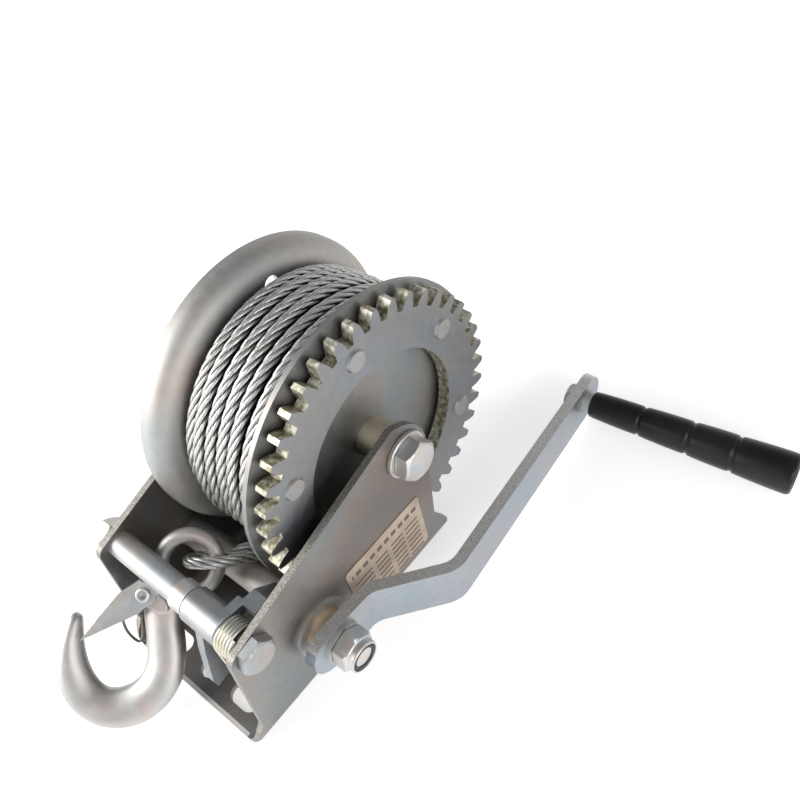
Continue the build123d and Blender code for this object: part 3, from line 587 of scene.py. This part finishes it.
def loop_route():
    """Loop through the hook's eye, with both ends led into the ferrule."""
    end, after = ROPE_TAIL[:2]
    direction = (after - end).normalized()
    spread = direction.cross(Vector((0, 0, 1))).normalized() * LOOP_SPREAD
    start = end - direction * FERRULE_L
    ring = [hook_point(x, y, z) for x, y, z in LOOP_HALF]
    ring += [hook_point(x, y, -z) for x, y, z in reversed(LOOP_HALF)]
    lead = direction * LOOP_LEAD
    return [start + spread, start + spread - lead, *ring, start - spread - lead, start - spread]


def make_free_rope(steel):
    """The rope's free stretch: its loop in the hook's eye and its tail under the drum."""
    for name, route in (("rope_loop", loop_route()), ("rope_tail", ROPE_TAIL)):
        line = route_line(route)
        mesh = stranded(name + "_strands", line, step=1.0)
        rope = add_object(name + "_strands", mesh, steel, "frame", (name,))


def wound_radius(x):
    """Radius of the outermost rope's centre at x: lower beside the left flange, crowned in the middle."""
    share = (x - WIND_LEFT) / (WIND_RIGHT - WIND_LEFT)
    return 65.0 - 5.0 * max(0.0, 1 - share / 0.26) ** 2 - 0.8 * max(0.0, (share - 0.75) / 0.25) ** 2


def wound_line(turns, place_of, radius_of, start_angle, wander):
    """Line wound on the drum: its x and radius after each part of a turn come from place_of and radius_of."""
    points = []
    per_turn = 72
    for index in range(int(turns * per_turn) + 1):
        turn = index / per_turn
        angle = start_angle + 2 * pi * turn
        x = place_of(turn) + wander * sin(2.3 * angle + 0.7 * int(turn))
        radius = radius_of(x) + 0.3 * sin(1.31 * angle)
        points.append(Vector((x, AXLE[0] + radius * cos(angle), AXLE[1] + radius * sin(angle))))
    return points


def outer_place(turn):
    """The rope comes in under the drum, lies against the right flange, and then crosses to the left."""
    settled = WIND_START - WIND_PITCH * max(0.0, turn - WIND_STRAIGHT)
    entering = max(0.0, 1 - turn / 0.4)
    return max(WIND_LEFT + WIND_ROPE_R + 0.3, settled - (WIND_START - ROPE_TAIL[-1].x) * entering ** 2)


def make_winding(steel):
    """Visible wraps of rope on the drum, over a neater layer that shows between them."""
    end = ROPE_TAIL[-1]
    start_angle = atan2(end.z - AXLE[1], end.y - AXLE[0])
    start_radius = Vector((end.y - AXLE[0], end.z - AXLE[1])).length
    line = wound_line(WIND_TURNS, outer_place, wound_radius, start_angle, 0.25)
    riding = 40
    for index in range(riding):
        share = 1 - index / riding
        eased = share * share * (3 - 2 * share)
        point = line[index]
        axle = Vector((point.x, *AXLE))
        away = point - axle
        line[index] = axle + away.normalized() * (away.length + (start_radius - away.length) * eased)
    outer = stranded("winding_outer", line, radius=WIND_ROPE_R, lay=42.0, axle=AXLE)
    add_object("winding_outer", outer, steel, "drum", ("rope_winding",))
    first = WIND_LEFT + ROPE_R
    pitch = (WIND_RIGHT - ROPE_R - first) / WIND_INNER_TURNS
    below = wound_line(
        WIND_INNER_TURNS, lambda turn: first + pitch * turn, lambda x: wound_radius(x) - WIND_LAYER, 0.4, 0.1,
    )
    inner = stranded("winding_inner", below, 2.0, sides=8, axle=AXLE)
    add_object("winding_inner", inner, steel, "drum")
    width = WIND_RIGHT - WIND_LEFT
    barrel = lathe(
        "winding_core", [(0.5, 53), (0.5, 55), (width - 0.5, 57), (width - 0.5, 53)],
        Vector((WIND_LEFT, *AXLE)), Vector((1, 0, 0)),
    )
    add_object("winding_core", barrel, plain("rope_shadow", (0.05, 0.05, 0.05), 0.7), "drum")


# ---------------------------------------------------------------- hook and latch
HOOK_SECTIONS = [
    (30.0, 50.8, 1.0, 1.0), (29.9, 51.5, 2.2, 2.4), (29.3, 53.6, 3.2, 3.7), (28.0, 57.0, 4.0, 4.8),
    (26.0, 61.2, 4.8, 5.8), (23.4, 66.0, 5.8, 6.4), (19.8, 71.0, 6.9, 6.8), (15.0, 75.8, 7.9, 7.0),
    (9.0, 79.6, 8.6, 7.0), (2.0, 81.5, 8.9, 7.0), (-5.2, 80.8, 9.2, 7.0), (-11.8, 77.2, 9.6, 7.0),
    (-16.8, 71.6, 9.8, 7.0), (-19.8, 65.0, 9.6, 7.0), (-20.9, 58.2, 9.4, 7.0), (-19.9, 50.8, 9.3, 7.0),
    (-16.6, 43.6, 9.1, 6.9), (-12.0, 37.4, 9.1, 6.8), (-6.8, 31.4, 8.9, 6.6), (-2.6, 26.0, 9.2, 6.2),
    (-0.4, 20.6, 8.4, 5.4), (0.0, 16.0, 6.0, 4.2), (0.0, 12.8, 3.0, 3.0),
]


def rounded_route(rows, parts):
    """Rows of numbers with more rows between them, on a smooth curve through all of them."""
    result = []
    for index in range(len(rows) - 1):
        corners = [rows[max(0, index - 1)], rows[index], rows[index + 1], rows[min(len(rows) - 1, index + 2)]]
        for step in range(parts):
            t = step / parts
            weights = (
                -0.5 * t + t * t - 0.5 * t ** 3, 1 - 2.5 * t * t + 1.5 * t ** 3,
                0.5 * t + 2 * t * t - 1.5 * t ** 3, -0.5 * t * t + 0.5 * t ** 3,
            )
            columns = zip(*corners)
            result.append(tuple(sum(w * value for w, value in zip(weights, column)) for column in columns))
    return [*result, rows[-1]]


def make_hook(material):
    """Forged hook: rounded sections swept round the bowl and fused with the ring of the eye."""
    shape = bmesh.new()
    sides = 40
    rings = []
    sections = rounded_route(HOOK_SECTIONS, 4)
    centres = [Vector((x, y, 0)) for x, y, _, _ in sections]
    for index, (x, y, half, thick) in enumerate(sections):
        tangent = (centres[min(len(centres) - 1, index + 1)] - centres[max(0, index - 1)]).normalized()
        normal = Vector((tangent.y, -tangent.x, 0))
        inward = 1.0 if normal.dot(Vector((3, 52, 0)) - centres[index]) > 0 else -1.0
        ring = []
        for number in range(sides):
            angle = 2 * pi * number / sides
            c, s = cos(angle), sin(angle)
            power = 0.74
            flat = abs(c) ** power * (1 if c > 0 else -1)
            high = abs(s) ** power * (1 if s > 0 else -1)
            narrowing = 1 - 0.30 * max(0.0, flat * inward - 0.1)
            place = centres[index] + normal * (half * flat)
            ring.append(shape.verts.new(hook_point(place.x, place.y, thick * high * narrowing) * MM))
        rings.append(ring)
    for low, high in zip(rings, rings[1:]):
        for index in range(sides):
            after = (index + 1) % sides
            shape.faces.new((low[index], low[after], high[after], high[index]))
    shape.faces.new(list(reversed(rings[0])))
    shape.faces.new(rings[-1])
    turns = [2 * pi * index / 64 for index in range(64)]
    ring_rows = []
    for turn in turns:
        out = HOOK_ACROSS * cos(turn) + HOOK_DOWN * sin(turn)
        row = []
        for index in range(20):
            angle = 2 * pi * index / 20
            spot = HOOK_EYE + out * (13.75 + 3.75 * cos(angle)) + HOOK_NORMAL * (3.75 * sin(angle))
            row.append(shape.verts.new(spot * MM))
        ring_rows.append(row)
    for number, row in enumerate(ring_rows):
        follow = ring_rows[(number + 1) % len(ring_rows)]
        for index in range(20):
            after = (index + 1) % 20
            shape.faces.new((row[index], row[after], follow[after], follow[index]))
    lug = []
    for height in (-6.9, 6.9):
        row = []
        for index in range(24):
            angle = 2 * pi * index / 24
            edge = hook_point(3.6 + 8.4 * cos(angle), 22.6 + 4.3 * sin(angle), height)
            row.append(shape.verts.new(edge * MM))
        lug.append(row)
    for index in range(24):
        after = (index + 1) % 24
        shape.faces.new((lug[0][index], lug[0][after], lug[1][after], lug[1][index]))
    shape.faces.new(list(reversed(lug[0])))
    shape.faces.new(lug[1])
    bmesh.ops.recalc_face_normals(shape, faces=shape.faces)
    mesh = bpy.data.meshes.new("hook_forged")
    shape.to_mesh(mesh)
    shape.free()
    draft = bpy.data.objects.new("hook_draft", mesh)
    bpy.context.collection.objects.link(draft)
    remesh = draft.modifiers.new("fuse", "REMESH")
    remesh.mode = "VOXEL"
    remesh.voxel_size = 0.55 * MM
    relax = draft.modifiers.new("relax", "SMOOTH")
    relax.factor = 0.5
    relax.iterations = 12
    fused = evaluated(draft)
    fused.shade_smooth()
    add_object("hook_forged", fused, material, "frame", ("hook_body",))


# ---------------------------------------------------------------- fasteners
def hexagon(name, origin, axis, height, flats, twist, bore=0.0, both_ends=False):
    """Hexagon body with its corners chamfered at the far end, or at both, and a bore if it has one."""
    corner = flats / sqrt(3)
    depth = 0.09 * flats
    edge = [(height - depth * (1 - share), corner - (corner - 0.46 * flats) * share ** 1.3) for share in
            (0.0, 0.2, 0.4, 0.6, 0.8, 1.0)]
    start = [(0.0, bore), (0.0, 0.49 * flats), (0.25, corner)]
    if both_ends:
        start = [(0.0, bore), *[(height - d, r) for d, r in reversed(edge)]]
    profile = [*start, *edge, (height, bore)]
    if bore:
        profile.append(start[0])
    return lathe(name, profile, origin, axis, 96, flats, twist)


def threaded(name, origin, axis, length, radius, thread, pitch):
    """Plain shank with turned thread crests over its first stretch and a chamfered tip."""
    profile = [(0.0, 0.0), (0.0, radius * 0.80), (0.9, radius * 0.97)]
    for index in range(int((thread - 0.9) / pitch)):
        base = 0.9 + index * pitch
        profile += [(base + 0.45 * pitch, radius * 0.88), (base + 0.9 * pitch, radius * 0.995)]
    profile += [(thread + 0.6, radius), (length, radius), (length, 0.0)]
    return lathe(name, profile, origin, axis, 48)


def make_fasteners(bright, dull, dark):
    """Bolts and nuts with chamfered heads, threads, and the lock nut's ring."""
    along = Vector((1, 0, 0))
    for name, axis, tip, face, radius, flats, height, finish in (
        ("axle_bolt", AXLE, -64.5, 51.0, 6.0, 19.0, 8.0, bright),
        ("front_bolt", FRONT, -60.5, 48.5, 5.0, 16.0, 6.0, dull),
    ):
        head = hexagon(name, Vector((face, *axis)), along, height, flats, 12)
        shank = threaded(name, Vector((tip, *axis)), along, face - tip, radius - 0.02, 13.0, 1.5)
        turned = joined(name + "_turned", [head, shank])
        add_object(name + "_turned", turned, finish, "frame", (name,))
    for name, axis, start, height, flats, bore in (
        ("axle_nut", AXLE, -61.0, 10.0, 19.0, 6.0), ("front_nut", FRONT, -57.0, 8.5, 16.0, 5.0),
    ):
        nut = hexagon(name, Vector((start, *axis)), along, height, flats, 20, bore, True)
        add_object(name + "_turned", joined(name + "_turned", [nut]), bright, "frame", (name,))
    for name, face in (("axle_washer_right", 48.5), ("axle_washer_left", -51.0)):
        ring = [(0, 6.1), (0, 11.6), (0.4, 12.0), (2.1, 12.0), (2.5, 11.6), (2.5, 6.1), (0, 6.1)]
        washer = lathe(name, ring, Vector((face, *AXLE)), along, 96)
        turned = joined(name + "_turned", [washer])
        add_object(name + "_turned", turned, bright, "frame", (name,))
    lock = [
        (0.0, 5.0), (0.0, 8.3), (0.5, 10.4), (7.2, 10.4), (8.1, 9.2), (8.6, 8.5), (9.4, 8.3), (11.0, 8.25),
        (11.6, 8.0), (11.95, 7.6), (11.85, 7.2), (11.4, 7.05), (9.9, 7.0), (9.9, 5.0), (0.0, 5.0),
    ]
    nut = lathe("shaft_nut", lock, Vector((64, *SHAFT)), along, 96, 18.0, 20)
    turned = joined("shaft_nut_turned", [nut])
    add_object("shaft_nut_turned", turned, bright, "crank", ("shaft_nut",))
    ring = [(0, 5.05), (0, 6.8), (1.5, 6.8), (1.8, 6.6), (1.85, 5.5), (1.6, 5.05), (0, 5.05)]
    nylon = lathe("nut_insert", ring, Vector((73.9, *SHAFT)), along, 96)
    turned = joined("nut_insert_turned", [nylon])
    add_object("nut_insert_turned", turned, dark, "crank", ("nut_insert",))
    head = hexagon("grip_bolt", GRIP_START - GRIP_AXIS * 6.0, -GRIP_AXIS, 5.5, 13.0, 8)
    pin = threaded("grip_bolt", GRIP_START - GRIP_AXIS * 6.0, GRIP_AXIS, 113.0, 4.0, 1.0, 1.2)
    cap = [(0, 0), (0, 7.2), (1.6, 7.2), (2.0, 6.8), (2.0, 0)]
    end = lathe("grip_bolt", cap, GRIP_START + GRIP_AXIS * 106.0, GRIP_AXIS)
    turned = joined("grip_bolt_turned", [head, pin, end])
    add_object("grip_bolt_turned", turned, bright, "crank", ("grip_bolt",))


def make_rivet(bright):
    """Hollow rivet through the latch: a rolled ring round a dark hole on each side."""
    pin = hook_point(*LATCH_PIN)
    ends = []
    for way in (1, -1):
        rolled = [
            (7.0, 0.0), (7.0, 2.2), (8.7, 2.2), (8.7, 3.3), (9.1, 3.5), (9.6, 3.3), (9.9, 2.8), (9.8, 2.2),
            (9.2, 1.8), (7.6, 1.6), (7.6, 0.0),
        ]
        ends.append(lathe("rivet", rolled, pin, HOOK_NORMAL * way, 48))
    shank = lathe("rivet", [(-7.0, 0), (-7.0, 2.15), (7.0, 2.15), (7.0, 0)], pin, HOOK_NORMAL, 48)
    rivet = joined("latch_rivet_rolled", [*ends, shank])
    add_object("latch_rivet_rolled", rivet, bright, "frame", ("latch_rivet",))


# ---------------------------------------------------------------- crank grip
def make_grip(material):
    """Moulded grip: four crowned lengths between three grooves, and a recessed end with a rounded rim."""
    first, last = 4.0, 114.0
    marks = [first, 32.5, 59.5, 83.5, last]

    def taper(distance):
        return 7.6 + 3.7 * (distance - first) / (111.8 - first)

    profile = [(first, 4.3), (first, 6.9), (first + 0.4, 7.3)]
    for number, (start, end) in enumerate(zip(marks, marks[1:])):
        steps = 14
        stop = end - (1.3 if number < 3 else 2.2)
        begin = start + (1.3 if number else 0.9)
        for index in range(steps + 1):
            share = index / steps
            distance = begin + (stop - begin) * share
            crown = 0.30 * sin(pi * share) ** 0.5
            profile.append((distance, taper(distance) - 0.30 + crown))
        if number < 3:
            profile += [(end - 0.8, taper(end) - 0.75), (end - 0.45, taper(end) - 1.0),
                        (end + 0.45, taper(end) - 1.0), (end + 0.8, taper(end) - 0.75)]
    for angle in (70, 50, 30, 10):
        profile.append((last - 2.2 + 2.2 * cos(radians(angle)), 8.9 + 2.1 * sin(radians(angle))))
    profile += [(last, 8.6), (last, 8.0), (last - 0.3, 7.6)]
    profile += [(last - 7.5, 7.5), (last - 7.8, 4.4), (first, 4.3)]
    mesh = lathe("grip_moulded", profile, GRIP_START, GRIP_AXIS, 96)
    smooth(mesh, 38)
    add_object("grip_moulded", mesh, material, "grip", ("grip",))


# ---------------------------------------------------------------- springs
def make_springs(material, dark):
    """Torsion spring of the pawl, close coiled on the front tube, and the latch's bent wire."""
    turns, per_turn = 5.2, 40
    start, end, radius = 34.5, 43.9, 8.6
    beside = FRONT[0] - radius
    points = [Vector((start - 0.2, beside, FRONT[1] - 15)), Vector((start - 0.1, beside, FRONT[1] - 7))]
    count = int(turns * per_turn)
    for index in range(count + 1):
        share = index / count
        angle = pi - 2 * pi * turns * share
        x = start + (end - start) * share
        points.append(Vector((x, FRONT[0] + radius * cos(angle), FRONT[1] + radius * sin(angle))))
    mesh = round_bar("pawl_spring_coils", points, 0.88)
    add_object("pawl_spring_coils", mesh, material, "frame", ("pawl_spring",))
    wire = rounded_route([(*point, 0.0) for point in LATCH_SPRING], 8)
    mesh = round_bar("latch_spring_wire", [hook_point(*point) for point in wire], 0.68, step=0.4)
    add_object("latch_spring_wire", mesh, dark, "frame", ("latch_spring",))


def main():
    make_camera()
    rope = rope_material()
    make_free_rope(rope)
    make_studio()
    sheet = zinc(
        "zinc_sheet", (0.285, 0.28, 0.27), (0.31, 0.27, 0.245), (0.26, 0.275, 0.28), (0.36, 0.5),
        edges=((0.18, 0.165, 0.135), (0.31, 0.295, 0.27), (0.46, 0.45, 0.42), folded_sheet_edges, 1500),
    )
    latch = zinc("zinc_latch", (0.60, 0.585, 0.56), (0.62, 0.58, 0.53), (0.56, 0.58, 0.60), (0.36, 0.5), 60)
    drum = zinc("zinc_drum", (0.50, 0.485, 0.46), (0.53, 0.475, 0.44), (0.46, 0.475, 0.46), (0.52, 0.66))
    wheel = zinc(
        "zinc_flange_right", (0.34, 0.34, 0.335), (0.35, 0.33, 0.31), (0.31, 0.33, 0.34), (0.45, 0.6),
    )
    gear = zinc(
        "zinc_gear", (0.30, 0.302, 0.305), (0.31, 0.30, 0.285), (0.285, 0.30, 0.32), (0.36, 0.5),
        edges=((0.26, 0.23, 0.14), (0.50, 0.48, 0.38), (0.80, 0.79, 0.72), turned_from_axle, 420),
    )
    arm = zinc(
        "zinc_arm", (0.42, 0.435, 0.47), (0.43, 0.43, 0.445), (0.38, 0.43, 0.47), (0.32, 0.45),
        edges=((0.52, 0.52, 0.50), (0.68, 0.68, 0.66), (0.84, 0.84, 0.83), bar_edges, 1500),
    )
    tube = zinc("zinc_tube", (0.52, 0.51, 0.49), (0.54, 0.50, 0.46), (0.48, 0.50, 0.52), (0.5, 0.64))
    # Lighter, warmer zinc for the drum's hub: painted light, standing in for the bounce light and highlights
    # on it.
    hub_painted_light = zinc("zinc_hub_painted_light", (0.74, 0.71, 0.62), (0.78, 0.70, 0.56), (0.68, 0.70, 0.66), (0.34, 0.46))
    pawl = zinc("zinc_pawl", (0.42, 0.44, 0.47), (0.43, 0.43, 0.43), (0.38, 0.42, 0.46), (0.4, 0.55), 60)
    bright = zinc(
        "zinc_bright", (0.66, 0.65, 0.63), (0.69, 0.63, 0.57), (0.61, 0.635, 0.66), (0.40, 0.54),
        120, 700, 0.00003,
    )
    forged = zinc(
        "zinc_forged", (0.55, 0.53, 0.51), (0.585, 0.52, 0.49), (0.515, 0.525, 0.51), (0.42, 0.6),
        45, 900, 0.00014,
    )
    dull = zinc("zinc_dull", (0.42, 0.415, 0.40), (0.43, 0.40, 0.37), (0.39, 0.41, 0.42), (0.4, 0.55), 60)
    spring = zinc("spring_wire", (0.60, 0.585, 0.50), (0.64, 0.60, 0.46), (0.54, 0.55, 0.55), (0.25, 0.38))
    dark_wire = zinc("latch_wire", (0.16, 0.155, 0.15), (0.20, 0.17, 0.14), (0.13, 0.14, 0.15), (0.3, 0.5))
    nylon = nylon_black()
    finishes = {
        "zinc_sheet": sheet, "zinc_drum": drum, "zinc_gear": gear, "zinc_arm": arm, "zinc_tube": tube,
        "zinc_bright": bright, "forged_zinc": forged, "spring_steel": spring, "wire_rope": rope,
        "aluminium_sleeve": bright, "bronze": bronze(), "label_film": label_material(),
        "black_nylon": nylon, "black_plastic": grip_plastic(),
    }
    own = {
        "hook_latch": latch, "drum_flange_right": wheel, "pawl": pawl, "gear_rivets": dull, "drum_hub": hub_painted_light,
    }
    for part in frame["record"]["subparts"]:
        finish = finishes[part["material_slot"]]
        holder = frame["nodes"][part["node"]]
        for slot in holder.material_slots:
            slot.material = own.get(part["node"], finish)
    make_winding(rope)
    make_hook(forged)
    make_grip(finishes["black_plastic"])
    make_springs(spring, dark_wire)
    make_fasteners(bright, dull, nylon)
    make_rivet(bright)


main()
